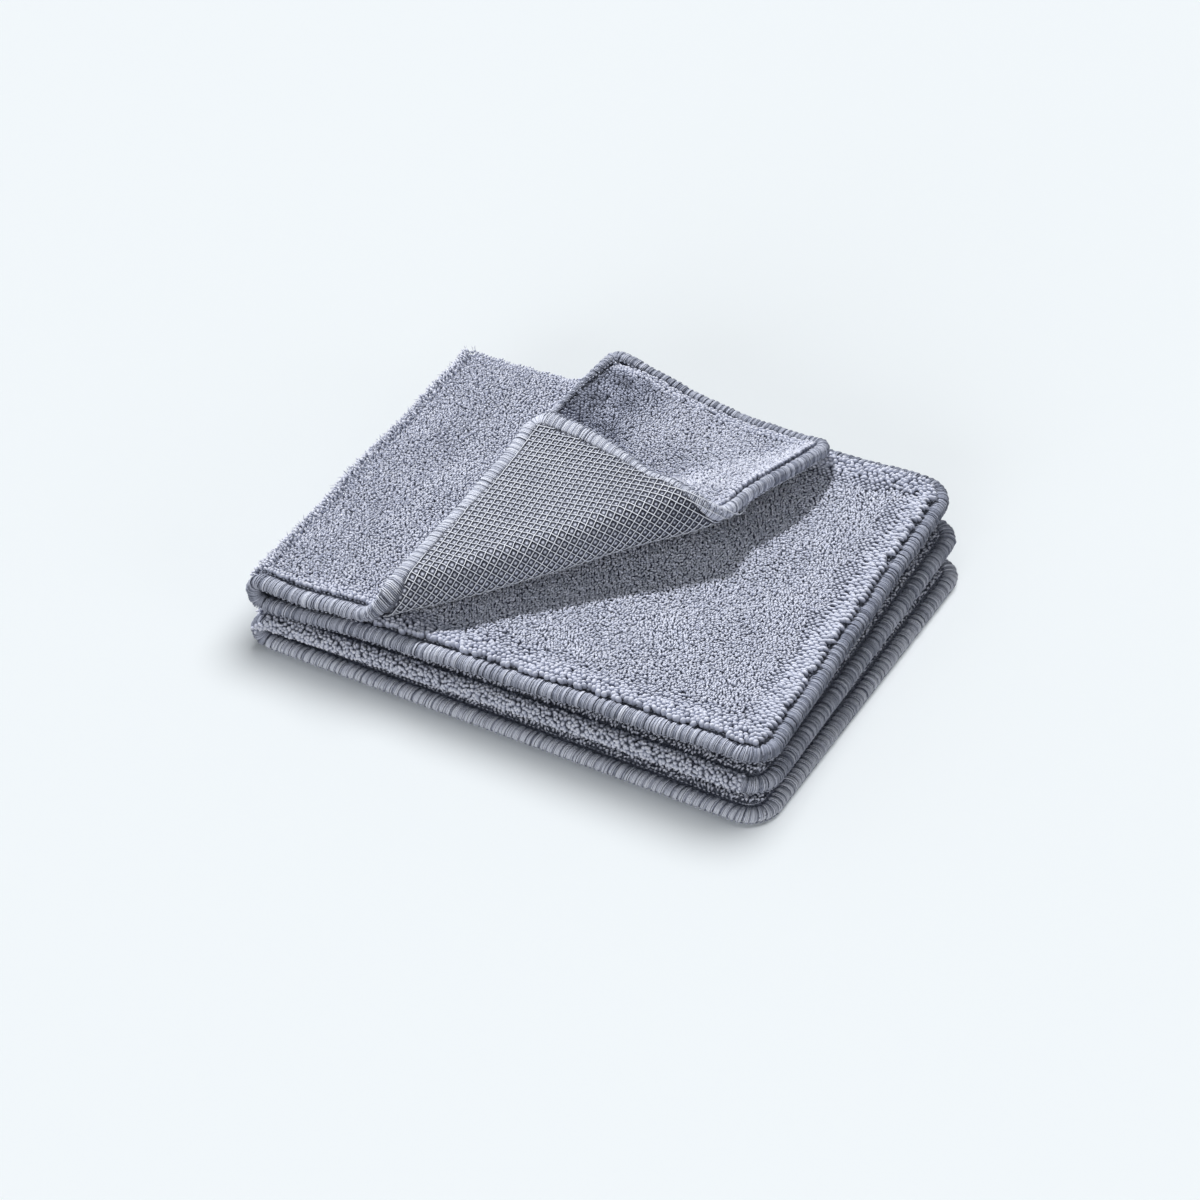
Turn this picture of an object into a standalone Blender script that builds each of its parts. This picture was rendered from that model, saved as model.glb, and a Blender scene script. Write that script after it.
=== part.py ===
"""A thick pile dishcloth, folded in quarters, with the front right corner of its top
quarter turned back over a loose roll so that the scouring mesh under it shows.

Each quarter of the cloth is a sheet of points at its middle. The sheets are joined by
the folds into one surface, which is then given the cloth's thickness on both sides.
Metres, +Z up. X runs along the front hems, Y to the back, and the origin lies under
the middle of the folded cloth.
"""

import math

import bmesh
import bpy
import numpy as np

# Driving dimensions.
WIDTH = 0.200  # folded width, from the left folds to the right hems
DEPTH = 0.158  # folded depth, from the front hems to the back
THICK = 0.006  # the cloth with its pile pressed down, and its overlocked hem
HEM = 0.006  # width of the overlocked hem
HEM_EDGE = 0.7  # thickness of the outermost edge, as a share of THICK
FOLD_IN = 0.0075  # from the outside of the left folds to where the layers run flat
FOLD_OUT = 0.0070  # how far the left folds slant out towards the back
OUT_WIDTH = 0.050  # over this width beside it the top layer takes that slant
MIDDLE = (0.0984, 0.0837)  # middle of the finished cloth from its front left corner
CORNER = 0.012  # radius of the hemmed corners
BACK_TURN = 0.0044  # how far the fold at the back reaches past the layers it joins
BACK_TUCK = 0.0035  # how much shorter the joined layers are cut there
BACK_END = 0.75  # share of the width within which that fold ends

# The layers under the top one. z: middle height at the left folds and at the right
# hems. x: right hem at its front and at its back. back: rear edge past DEPTH.
LOWER = [
    # name      z_left   z_right  x_front  x_back   back
    ("second", 0.01930, 0.02960, 0.2005, 0.1945, 0.0075),
    ("third", 0.01120, 0.01630, 0.2003, 0.2000, 0.0035),
    ("bottom", 0.00300, 0.00300, 0.2000, 0.2035, 0.0000),
]
SLOPE_EASE = 1.6  # the layers climb faster beside the folds than at the hems

# The top layer.
TOP_WIDTH = 0.1675  # cut width of the top quarter at its front hem
TOP_BACK_IN = 0.0185  # how much narrower it lies at its back hem
TOP_CORNER = 0.008  # radius of its corners
TOP_GAP = 0.0017  # its underside above the second layer, room for the mesh
TOP_FOLD_GAP = 0.0009  # the extra room beside the left fold
SLOPE_IN = 0.022  # over this width beside the fold that extra room closes
PULL = 0.0200  # how far the roll draws the right hem in
PULL_AT = 0.084  # depth at which it draws most
PULL_FRONT = 0.032  # spread of the pull towards the front
PULL_BACK = 0.042  # and towards the back
PULL_POWER = 1.4  # above 1, the part near the hem is drawn most

# The turned back corner: a roll along a slanting line through its start.
TURN_X = 0.0515
TURN_Y = 0.0026
TURN_ANGLE = math.radians(45.5)  # of that line from the X axis
ROLL_START = 0.0042  # radius of the roll at its start, at the front hem
ROLL_GROWTH = 0.012  # growth of that radius along the roll
ROLL_SHIFT = 0.033  # how far the roll drifts off the slanting line, per metre along it
ROLL_LIFT = 0.42  # lift of the lower sheet at the roll, per square of metres along it
LIFT_WIDTH = 0.032  # over this width left of the roll the lower sheet lifts to it
LIE_GAP = 0.0018  # the turned back corner above the sheet it lies on
SETTLE = 0.045  # over this width the corner comes down from the roll

# The raised edge between the turned back corner and the back hem.
RISE = 0.0110
RISE_FRONT = 0.092  # depth where it starts to rise
RISE_FULL = 0.140  # depth from which it stands at full height
RISE_X = (0.0425, 0.0550)  # foot and crest of its steep left side
RISE_SLANT = 0.0040  # how far the whole edge moves right as it rises
RISE_RIGHT = 0.060  # width of its gentle right side
BACK_LEFT = -0.0015  # rear edge past DEPTH left of the raised edge
BACK_RAISED = 0.0050  # and on it
BACK_RIGHT = 0.0020  # and at the right corner

# The scouring mesh under the top layer.
MESH_THICK = 0.0008
MESH_GAP = 0.0003

# Lines of points on the cut top quarter. FAN: x at the front hem and at the back hem.
FAN = [
    # front_x  back_x
    (FOLD_IN, FOLD_IN),
    (0.0180, 0.0240),
    (0.0270, 0.0370),
    (0.0330, 0.0435),
    (0.0355, 0.0480),
    (0.0370, 0.0525),
    (0.0378, 0.0600),
    (0.0385, 0.0700),
    (0.0392, 0.0850),
    (0.0399, 0.1020),
    (0.0406, 0.1200),
    (0.0413, 0.1400),
    (0.0420, TOP_WIDTH),
]
ROLL_FRONT = (0.0431, 0.0616)  # x of the roll's first and last line at the front hem
ROLL_FAR = (0.112, 0.081)  # and their y at the right hem

# Subdivisions.
ROWS = 20
LOWER_COLUMNS = 9
FOLD_STEPS = 5
ROLL_STEPS = 6
FLAP_STEPS = 7

PILE_COLOUR = (0.30, 0.32, 0.40, 1.0)
MESH_COLOUR = (0.55, 0.57, 0.60, 1.0)


def smooth(share):
    """0 below 0, 1 above 1, and an S curve between."""
    share = np.clip(share, 0.0, 1.0)
    return share * share * (3.0 - 2.0 * share)


def stations(count, hem_share):
    """Shares from 0 to 1, with the hem's width as the first and the last step."""
    return np.concatenate([[0.0], np.linspace(hem_share, 1.0 - hem_share, count - 1), [1.0]])


def round_corner(x, y, corner_x, corner_y, radius):
    """Pulls the points near a square corner onto a quarter circle."""
    inward_x = np.sign(WIDTH / 2 - corner_x)
    inward_y = np.sign(DEPTH / 2 - corner_y)
    a = np.clip(1.0 - (x - corner_x) * inward_x / radius, 0.0, 1.0)
    b = np.clip(1.0 - (y - corner_y) * inward_y / radius, 0.0, 1.0)
    new_a = a * np.sqrt(1.0 - b * b / 2.0)
    new_b = b * np.sqrt(1.0 - a * a / 2.0)
    return x + (a - new_a) * radius * inward_x, y + (b - new_b) * radius * inward_y


def layer_height(row, x):
    """Middle height of a lower layer at x."""
    _, z_left, z_right, _, _, _ = row
    share = np.clip((x - FOLD_IN) / (WIDTH - FOLD_IN), 0.0, 1.0)
    return z_left + (z_right - z_left) * (1.0 - (1.0 - share) ** SLOPE_EASE)


def lower_layer(row, joined):
    """Grid of middle points of one lower layer: columns along X, rows along Y."""
    name, _, _, x_front, x_back, back = row
    p, q = np.meshgrid(
        stations(LOWER_COLUMNS, HEM / WIDTH), stations(ROWS, HEM / DEPTH), indexing="ij"
    )
    x, y = round_corner(p * WIDTH, q * DEPTH, WIDTH, 0.0, CORNER)
    x, y = round_corner(x, y, WIDTH, DEPTH, CORNER)
    x_left = FOLD_IN - FOLD_OUT * q
    x = x_left + x / WIDTH * (x_front + (x_back - x_front) * q - x_left)
    reach = back - (BACK_TUCK * (p < BACK_END) if joined else 0.0)
    y = y + reach * q**2
    return np.stack([x, y, layer_height(row, x)], axis=-1)


def top_rest(x):
    """Middle height of the top layer where it just lies on the second one."""
    closing = 1.0 - smooth((x - FOLD_IN) / SLOPE_IN)
    return layer_height(LOWER[0], x) + THICK + TOP_GAP + TOP_FOLD_GAP * closing


def top_rise(x, y):
    """Height that the raised edge adds: steep on its left, gentle on its right."""
    foot, crest = RISE_X
    risen = smooth((y - RISE_FRONT) / (RISE_FULL - RISE_FRONT))
    x = x - RISE_SLANT * risen
    left = smooth((x - foot) / (crest - foot))
    right = 1.0 - smooth((x - crest) / RISE_RIGHT)
    return RISE * risen * left * right


def drape(across, along):
    """Lays the flat top quarter: (across, along) on the cut cloth to a point in space.

    The cloth is first drawn in sideways, in its own plane. Past the roll's start it then
    runs round a roll that widens along its length, and back over the sheet below.
    """
    spread = np.where(along < PULL_AT, PULL_FRONT, PULL_BACK)
    pull = PULL * np.exp(-(((along - PULL_AT) / spread) ** 2))
    narrow = TOP_BACK_IN * along / DEPTH
    share = np.clip((across - TURN_X) / (TOP_WIDTH - TURN_X), 0.0, 1.0)
    x = across - (pull + narrow) * share**PULL_POWER
    on_raised = smooth((x - RISE_X[0]) / (RISE_X[1] - RISE_X[0]))
    reach = BACK_LEFT + (BACK_RAISED - BACK_LEFT) * on_raised + (BACK_RIGHT - BACK_RAISED) * share
    y = along + reach * (along / DEPTH) ** 2

    line = np.array([math.cos(TURN_ANGLE), math.sin(TURN_ANGLE)])
    off = np.array([line[1], -line[0]])
    t = (x - TURN_X) * line[0] + (y - TURN_Y) * line[1]
    s = (x - TURN_X) * off[0] + (y - TURN_Y) * off[1]
    t_roll = np.maximum(t, 0.0)
    radius = ROLL_START + ROLL_GROWTH * t_roll
    start = -radius - ROLL_SHIFT * t_roll
    angle = np.clip((s - start) / radius, 0.0, math.pi)
    over = np.maximum(s - start - math.pi * radius, 0.0)
    s_laid = np.minimum(s, start) + radius * np.sin(angle) - over
    x_laid = TURN_X + s_laid * off[0] + t * line[0]
    y_laid = TURN_Y + s_laid * off[1] + t * line[1]

    # The sheet below at the same place, or at the roll's start for points on the roll.
    s_low = np.where(over > 0.0, s_laid, np.minimum(s, start))
    x_low = TURN_X + s_low * off[0] + t * line[0]
    y_low = TURN_Y + s_low * off[1] + t * line[1]
    lift = ROLL_LIFT * t_roll**2 * smooth((s_low - start) / LIFT_WIDTH + 1.0)
    z_low = top_rest(x_low) + top_rise(x_low, y_low) + lift
    lying = THICK + LIE_GAP
    settled = lying + (2.0 * radius - lying) * (1.0 - smooth(over / SETTLE))
    z = z_low + np.where(over > 0.0, settled, radius * (1.0 - np.cos(angle)))
    outward = FOLD_OUT * along / DEPTH * (1.0 - smooth((x_laid - FOLD_IN) / OUT_WIDTH))
    return np.stack([x_laid - outward, y_laid, z], axis=-1)


def top_lines():
    """Ends of the top quarter's lines, on the cut cloth: they fan out from the left fold
    to the roll, run along it, and cross the turned back corner up to its tip."""
    lines = [(front, far, DEPTH) for front, far in FAN]
    lines.append(((FAN[-1][0] + ROLL_FRONT[0]) / 2, TOP_WIDTH, (DEPTH + ROLL_FAR[0]) / 2))
    for share in np.linspace(0.0, 1.0, ROLL_STEPS + 1):
        front = ROLL_FRONT[0] + (ROLL_FRONT[1] - ROLL_FRONT[0]) * share
        far = ROLL_FAR[0] + (ROLL_FAR[1] - ROLL_FAR[0]) * share
        lines.append((front, TOP_WIDTH, far))
    for share in np.arange(1, FLAP_STEPS) / FLAP_STEPS:
        front = ROLL_FRONT[1] + (TOP_WIDTH - ROLL_FRONT[1]) * share
        lines.append((front, TOP_WIDTH, ROLL_FAR[1] * (1.0 - share)))
    return np.array(lines)


def top_layer():
    """Grid of middle points of the top quarter, and the tip of its corner."""
    front_x, far_x, far_y = (column[:, None] for column in top_lines().T)
    length = np.hypot(far_x - front_x, far_y).ravel()
    along = np.array([stations(ROWS, min(HEM / size, 0.3)) for size in length])
    x = front_x + (far_x - front_x) * along
    y = far_y * along
    tip_x, tip_y = np.array([[TOP_WIDTH]]), np.array([[0.0]])
    shift = WIDTH - TOP_WIDTH
    grids = []
    for grid_x, grid_y in ((x, y), (tip_x, tip_y)):
        for corner_y in (0.0, DEPTH):
            grid_x, grid_y = round_corner(grid_x + shift, grid_y, WIDTH, corner_y, TOP_CORNER)
            grid_x = grid_x - shift
        grids.append(drape(grid_x, grid_y))
    return grids


def fold(upper, lower, outward, reach):
    """Points of a fold between two edges, one row for each step, without the edges.

    It runs round half an ellipse: outward is its direction and reach its depth."""
    angle = math.pi * np.arange(1, FOLD_STEPS)[:, None, None] / FOLD_STEPS
    middle = (upper + lower) / 2.0
    return middle + (upper - middle) * np.cos(angle) + outward * reach * np.sin(angle) ** 0.8


class Sheet:
    """The middle surface of the whole cloth: its points and faces as they are joined."""

    def __init__(self):
        self.points = []
        self.faces = []

    def add(self, grid):
        """Adds a grid of points and returns their numbers, in the grid's shape."""
        grid = np.atleast_3d(grid)
        first = len(self.points)
        self.points.extend(grid.reshape(-1, 3))
        return np.arange(first, len(self.points)).reshape(grid.shape[:2])

    def join(self, numbers, flipped):
        """Adds two triangles for each cell of a grid of point numbers."""
        a, b = numbers[:-1, :-1], numbers[1:, :-1]
        c, d = numbers[1:, 1:], numbers[:-1, 1:]
        for corners in ((a, b, c), (a, c, d)):
            order = corners[::-1] if flipped else corners
            self.faces.extend(np.stack(order, axis=-1).reshape(-1, 3).tolist())


def middle_surface():
    """The folded cloth's middle surface, and the faces of it that the mesh lies under."""
    sheet = Sheet()
    left, back = np.array([-1.0, 0.0, 0.0]), np.array([0.0, 1.0, 0.0])
    top_points, tip_point = top_layer()
    top = sheet.add(top_points)
    tip = int(sheet.add(tip_point)[0, 0])
    sheet.join(top, flipped=False)
    last = top[-1]
    sheet.faces.extend([int(a), tip, int(b)] for a, b in zip(last[:-1], last[1:]))

    layers = [sheet.add(lower_layer(row, joined)) for row, joined in zip(LOWER, (True, True, False))]
    second, third, bottom = layers
    points = np.array(sheet.points)
    for upper, lower in ((top[0], second[0]), (third[0], bottom[0])):
        depth = np.mean(points[upper, 2] - points[lower, 2]) / 2.0
        turn = sheet.add(fold(points[upper], points[lower], left, depth))
        sheet.join(np.vstack([upper, turn, lower]), flipped=True)
    turned = int(np.searchsorted(stations(LOWER_COLUMNS, HEM / WIDTH), BACK_END))
    upper, lower = second[1:turned, -1], third[1:turned, -1]
    turn = sheet.add(fold(points[upper], points[lower], back, BACK_TURN))
    sheet.join(np.vstack([upper, turn, lower]), flipped=False)
    for numbers, flipped in ((second, True), (third, False), (bottom, True)):
        sheet.join(numbers, flipped)

    under = Sheet()
    under.join(top[1:-1, 1:-1], flipped=False)
    return np.array(sheet.points), sheet.faces, under.faces


def directions(points, faces):
    """Unit normals of the middle surface, lengthened at bends to keep the thickness, and
    the numbers of the points on its edges."""
    surface = bmesh.new()
    corners = [surface.verts.new(point) for point in points]
    for face in faces:
        surface.faces.new([corners[number] for number in face])
    surface.normal_update()
    normals = np.array([vert.normal * min(vert.calc_shell_factor(), 1.6) for vert in corners])
    surface.verts.index_update()
    edge = {vert.index for vert in corners if vert.is_boundary}
    surface.free()
    return normals, edge


def make_solid(name, points, faces, normals, above, below, colour):
    """Gives a surface its thickness: above and below are distances along the normals,
    one for each point. Its two skins are joined round the edges."""
    used = sorted({number for face in faces for number in face})
    body = bmesh.new()
    upper = {n: body.verts.new(points[n] + normals[n] * above[n]) for n in used}
    lower = {n: body.verts.new(points[n] + normals[n] * below[n]) for n in used}
    sides = {}
    for face in faces:
        body.faces.new([upper[n] for n in face])
        body.faces.new([lower[n] for n in reversed(face)])
        for start, end in zip(face, face[1:] + face[:1]):
            sides[(start, end)] = (end, start) not in sides
            if not sides[(start, end)]:
                sides[(end, start)] = False
    for (start, end), outer in sides.items():
        if outer:
            body.faces.new([upper[end], upper[start], lower[start], lower[end]])
    mesh = bpy.data.meshes.new(name)
    body.to_mesh(mesh)
    body.free()
    mesh.shade_smooth()
    mesh.set_sharp_from_angle(angle=math.radians(50.0))
    solid = bpy.data.objects.new(name, mesh)
    bpy.context.scene.collection.objects.link(solid)
    material = bpy.data.materials.new(name + " fabric")
    material.use_nodes = True
    shader = material.node_tree.nodes["Principled BSDF"]
    shader.inputs["Base Color"].default_value = colour
    shader.inputs["Roughness"].default_value = 0.9
    mesh.materials.append(material)
    return solid


for leftover in list(bpy.data.objects):
    bpy.data.objects.remove(leftover, do_unlink=True)

cloth_points, cloth_faces, mesh_faces = middle_surface()
cloth_points = cloth_points - np.array([*MIDDLE, 0.0])
cloth_normals, cloth_edge = directions(cloth_points, cloth_faces)
half = np.full(len(cloth_points), THICK / 2)
half[sorted(cloth_edge)] *= HEM_EDGE
make_solid("cloth", cloth_points, cloth_faces, cloth_normals, half, -half, PILE_COLOUR)
mesh_top = -half - MESH_GAP
make_solid(
    "scour_mesh",
    cloth_points,
    mesh_faces,
    cloth_normals,
    mesh_top,
    mesh_top - MESH_THICK,
    MESH_COLOUR,
)
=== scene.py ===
"""A thick pile dishcloth, folded in quarters, with the front right corner of its top
quarter turned back so that the scouring net under it shows. Metres, +Z up.
"""

import math

import bpy
import numpy as np
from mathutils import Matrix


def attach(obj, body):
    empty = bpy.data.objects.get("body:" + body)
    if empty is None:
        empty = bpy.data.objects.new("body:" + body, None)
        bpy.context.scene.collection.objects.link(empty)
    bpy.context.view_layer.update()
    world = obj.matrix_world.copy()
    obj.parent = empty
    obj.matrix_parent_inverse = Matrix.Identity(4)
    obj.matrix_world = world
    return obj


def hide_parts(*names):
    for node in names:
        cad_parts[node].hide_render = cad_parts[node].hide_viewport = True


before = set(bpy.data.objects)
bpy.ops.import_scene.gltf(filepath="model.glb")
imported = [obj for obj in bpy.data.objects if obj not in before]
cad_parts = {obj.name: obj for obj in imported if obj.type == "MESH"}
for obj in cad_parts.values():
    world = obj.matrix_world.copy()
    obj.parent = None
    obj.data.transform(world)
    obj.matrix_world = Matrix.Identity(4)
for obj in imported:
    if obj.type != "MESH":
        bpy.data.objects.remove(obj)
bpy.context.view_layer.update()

# Camera. It looks down on the cloth's front right corner with a long lens, so that the
# hems of the stack run away from it on both sides.
AZIMUTH, ELEVATION = math.radians(28.88), math.radians(38.81)
LOOKS_AT = np.array([0.0059, -0.0192, 0.0150])
DISTANCE, LENS, SENSOR = 0.979, 84.8, 36.0


def placed(name, data):
    """A new object in the scene."""
    made = bpy.data.objects.new(name, data)
    bpy.context.scene.collection.objects.link(made)
    return made


camera = placed("camera", bpy.data.cameras.new("camera"))
camera.data.sensor_width, camera.data.lens = SENSOR, LENS
sideways = math.cos(ELEVATION)
towards = math.sin(AZIMUTH) * sideways, -math.cos(AZIMUTH) * sideways, math.sin(ELEVATION)
camera.location = LOOKS_AT + DISTANCE * np.array(towards)
camera.rotation_euler = (math.pi / 2 - ELEVATION, 0.0, AZIMUTH)
bpy.context.scene.camera = camera

# How the cloth lies. It is one piece of pile cloth, folded in quarters: the top quarter
# turns at the left into the second, that at the back into the third, and that at the
# left into the bottom one. Places on a quarter are given flat, in metres, as cut.
WIDTH, DEPTH, THICK = 0.200, 0.158, 0.006
HEM = 0.006
FOLD_IN = 0.0075
FOLD_OUT, OUT_WIDTH = 0.0070, 0.050
CORNER = 0.012
MIDDLE = np.array([0.0984, 0.0837, 0.0])
SLOPE_EASE = 1.6
UNEVEN, UNEVEN_OVER = 0.0007, 0.034
SECOND = dict(left=0.01930, right=0.02960, x_front=0.2005, x_back=0.1945, back=0.0075, uneven=0.7)
THIRD = dict(left=0.01120, right=0.01630, x_front=0.2003, x_back=0.2000, back=0.0035, uneven=0.0)
BOTTOM = dict(left=0.00300, right=0.00300, x_front=0.2000, x_back=0.2035, back=0.0, uneven=0.0)

TOP_WIDTH, TOP_BACK_IN, TOP_CORNER = 0.1675, 0.0185, 0.008
TOP_GAP, TOP_FOLD_GAP, SLOPE_IN = 0.0017, 0.0009, 0.022
PULL, PULL_AT, PULL_FRONT, PULL_BACK, PULL_POWER = 0.0200, 0.084, 0.032, 0.042, 1.4
TURN = np.array([0.0515, 0.0026])
ROLL_LINE = np.array([math.cos(math.radians(45.5)), math.sin(math.radians(45.5))])
ROLL_OFF = np.array([ROLL_LINE[1], -ROLL_LINE[0]])
ROLL_START, ROLL_GROWTH, ROLL_SHIFT = 0.0042, 0.012, 0.033
ROLL_LIFT, LIFT_WIDTH = 0.42, 0.032
LIE_GAP, SETTLE = 0.0018, 0.045
RISE, RISE_FRONT, RISE_FULL, RISE_RIGHT = 0.0110, 0.092, 0.140, 0.060
RISE_FOOT, RISE_CREST, RISE_SLANT = 0.0425, 0.0550, 0.0040
BACK_LEFT, BACK_RAISED, BACK_RIGHT = -0.0015, 0.0050, 0.0020
FULLNESS = 0.8


def smooth(share):
    """3s² - 2s³ between 0 and 1: an S curve from 0 to 1."""
    share = np.clip(share, 0.0, 1.0)
    return share * share * (3.0 - 2.0 * share)


def waves(x, y, length, seed):
    """An even field from -1 to 1 that changes over about the given length: the mean of
    seven sine waves in random directions, times two."""
    turn = np.random.default_rng(seed)
    angle, phase = turn.uniform(0, 2 * np.pi, (2, 7))
    pitch = length * turn.uniform(0.7, 1.5, 7)
    run = x[..., None] * np.cos(angle) + y[..., None] * np.sin(angle)
    return np.sin(2 * np.pi * run / pitch + phase).sum(-1) / 3.5


def layer_height(layer, x):
    """Middle height: it climbs from the left to the right value as 1 - (1 - x)^1.6."""
    share = np.clip((x - FOLD_IN) / (WIDTH - FOLD_IN), 0.0, 1.0)
    return layer["left"] + (layer["right"] - layer["left"]) * (1 - (1 - share) ** SLOPE_EASE)


def lower_quarter(layer):
    """The middle surface of a lower quarter, from flat places (x, y): x is stretched between
    the fold and the right hem, which both slant, y is carried back with its square, and
    waves make the height a little uneven."""

    def place(x, y):
        x_near = FOLD_IN - FOLD_OUT * y / DEPTH
        x_far = layer["x_front"] + (layer["x_back"] - layer["x_front"]) * y / DEPTH
        across = x_near + x / WIDTH * (x_far - x_near)
        away = y + layer["back"] * np.clip(y / DEPTH, 0.0, None) ** 2
        uneven = layer["uneven"] * UNEVEN * waves(x + 0 * y, y + 0 * x, UNEVEN_OVER, 5)
        return np.stack([across, away, layer_height(layer, across) + uneven], axis=-1) - MIDDLE

    return place


second_quarter, third_quarter, bottom_quarter = map(lower_quarter, (SECOND, THIRD, BOTTOM))


def drawn_in(x, y):
    """A flat place on the top quarter after the cloth is drawn in sideways: by a bell curve
    of y, more towards the right hem, and carried back with the square of y."""
    spread = np.where(y < PULL_AT, PULL_FRONT, PULL_BACK)
    drawn = PULL * np.exp(-(((y - PULL_AT) / spread) ** 2)) + TOP_BACK_IN * y / DEPTH
    share = np.clip((x - TURN[0]) / (TOP_WIDTH - TURN[0]), 0.0, 1.0)
    across = x - drawn * share**PULL_POWER
    raised = smooth((across - RISE_FOOT) / (RISE_CREST - RISE_FOOT))
    reach = BACK_LEFT + (BACK_RAISED - BACK_LEFT) * raised + (BACK_RIGHT - BACK_RAISED) * share
    return across, y + reach * (y / DEPTH) ** 2


def by_roll(x, y):
    """A place seen from the roll: t along it, s across it, the radius of the roll there,
    which grows with t, and the s at which the cloth leaves the quarter below."""
    t = (x - TURN[0]) * ROLL_LINE[0] + (y - TURN[1]) * ROLL_LINE[1]
    s = (x - TURN[0]) * ROLL_OFF[0] + (y - TURN[1]) * ROLL_OFF[1]
    radius = ROLL_START + ROLL_GROWTH * np.maximum(t, 0.0)
    return t, s, radius, -radius - ROLL_SHIFT * np.maximum(t, 0.0)


def from_roll(t, s):
    """The place at t along the roll and s across it."""
    x = TURN[0] + s * ROLL_OFF[0] + t * ROLL_LINE[0]
    return x, TURN[1] + s * ROLL_OFF[1] + t * ROLL_LINE[1]


def top_quarter(x, y):
    """A flat place (x, y) on the top quarter to its middle surface. Left of the roll it lies
    on the second quarter, with a raised edge; there it runs round a half circle, and then
    back over itself, settling down from the roll with an S curve."""
    t, s, radius, start = by_roll(*drawn_in(x, y))
    angle = np.clip((s - start) / radius, 0.0, math.pi)
    over = np.maximum(s - start - math.pi * radius, 0.0)
    s_laid = np.minimum(s, start) + radius * np.sin(angle) - over
    x_laid, y_laid = from_roll(t, s_laid)

    s_low = np.where(over > 0.0, s_laid, np.minimum(s, start))
    x_low, y_low = from_roll(t, s_low)
    closing = 1.0 - smooth((x_low - FOLD_IN) / SLOPE_IN)
    rest = layer_height(SECOND, x_low) + THICK + TOP_GAP + TOP_FOLD_GAP * closing
    risen = smooth((y_low - RISE_FRONT) / (RISE_FULL - RISE_FRONT))
    x_edge = x_low - RISE_SLANT * risen
    crest = smooth((x_edge - RISE_FOOT) / (RISE_CREST - RISE_FOOT))
    rise = RISE * risen * crest * (1.0 - smooth((x_edge - RISE_CREST) / RISE_RIGHT))
    lift = ROLL_LIFT * np.maximum(t, 0.0) ** 2 * smooth((s_low - start) / LIFT_WIDTH + 1.0)
    lying = THICK + LIE_GAP
    settled = lying + (2.0 * radius - lying) * (1.0 - smooth(over / SETTLE))
    turned = np.where(over > 0.0, settled, radius * (1.0 - np.cos(angle)))
    outward = FOLD_OUT * y / DEPTH * (1.0 - smooth((x_laid - FOLD_IN) / OUT_WIDTH))
    height = rest + rise + lift + turned + UNEVEN * waves(x_low, y_low, UNEVEN_OVER, 3)
    return np.stack([x_laid - outward, y_laid, height], axis=-1) - MIDDLE


LEFTWARD, BACKWARD = np.array([-1.0, 0.0, 0.0]), np.array([0.0, 1.0, 0.0])


def fold(upper, lower, outward, depth, turn):
    """Half an ellipse from the upper edge (turn 0) to the lower one (turn 1): cos along
    their distance, and sin^0.8 outwards, which keeps the fold full."""
    angle = np.pi * np.asarray(turn)[..., None]
    centre = (upper + lower) / 2.0
    full = np.abs(np.sin(angle)) ** FULLNESS
    return centre + (upper - centre) * np.cos(angle) + outward * depth * full


def left_fold(above, below, start=0.0):
    """The left fold that joins two quarters, as a surface of its turn and y."""

    def place(turn, y):
        upper, lower = above(start + 0 * y, y), below(0 * y, y)
        return fold(upper, lower, LEFTWARD, (upper - lower)[..., 2:] / 2.0, turn)

    return place


top_fold = left_fold(top_quarter, second_quarter, FOLD_IN)
low_fold = left_fold(third_quarter, bottom_quarter)


# The knitted ground. It is the cloth that carries the pile, one closed sheet through all
# four quarters and three folds, thick at its overlocked hems and thinner at the seam
# beside them.
ROUND_HEM, RIM = np.array([0.0008, 0.0014, 0.0023, 0.0036, 0.0050, 0.0062, 0.0076]), 0.0085
TOP_CELL, LOW_CELL, AWAY_CELL, RINGS = 0.0016, 0.0030, 0.0018, 9
FROM_HEM = [0.0000, 0.0014, 0.0030, 0.0044, 0.0058, 0.0080]
HALF_THICK = [0.0007, 0.0013, 0.0017, 0.0015, 0.0011, 0.0019]
FLOOR_SKIN, FLOOR_GAP, THIN_CORNER = 0.0009, 0.0001, 0.004
BACK_TURN, BACK_TUCK, FOLD_END = 0.0044, 0.0035, 0.141


def round_corner(x, y, right, corner_y, radius):
    """A square corner onto a quarter circle: a to a √(1 - b²/2) on both axes."""
    inward = 1.0 if corner_y == 0.0 else -1.0
    a = np.clip(1.0 - (right - x) / radius, 0.0, 1.0)
    b = np.clip(1.0 - (y - corner_y) * inward / radius, 0.0, 1.0)
    new_a, new_b = a * np.sqrt(1.0 - b * b / 2.0), b * np.sqrt(1.0 - a * a / 2.0)
    return x - (a - new_a) * radius, y + (b - new_b) * radius * inward


def from_hem(x, y, right, radius):
    """Distance to the nearest hem of a quarter whose right corners are rounded."""
    dx, dy = right - x, np.minimum(y, DEPTH - y)
    round_part = radius - np.hypot(radius - dx, radius - dy)
    return np.where((dx < radius) & (dy < radius), round_part, np.minimum(dx, dy))


def quarter_grid(place, across, away, right, radius):
    """Middle points over a quarter, the grid of across and away with its corners rounded,
    and half its thickness at each."""
    x, y = np.meshgrid(across, away, indexing="ij")
    inside = from_hem(x, y, right, THIN_CORNER)
    for corner_y in (0.0, DEPTH):
        x, y = round_corner(x, y, right, corner_y, radius)
    return place(x, y), np.interp(inside, FROM_HEM, HALF_THICK)


def triangles(*rows, flipped=False):
    """Two triangles for each cell of a grid of point numbers, given as rows or blocks."""
    numbers = np.vstack(rows)
    a, b, c, d = numbers[:-1, :-1], numbers[1:, :-1], numbers[1:, 1:], numbers[:-1, 1:]
    both = np.concatenate([np.stack(face, -1).reshape(-1, 3) for face in ((a, b, c), (a, c, d))])
    return both[:, ::-1] if flipped else both


def unit(vectors):
    """The same directions at a length of 1."""
    return vectors / np.linalg.norm(vectors, axis=-1, keepdims=True)


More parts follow.
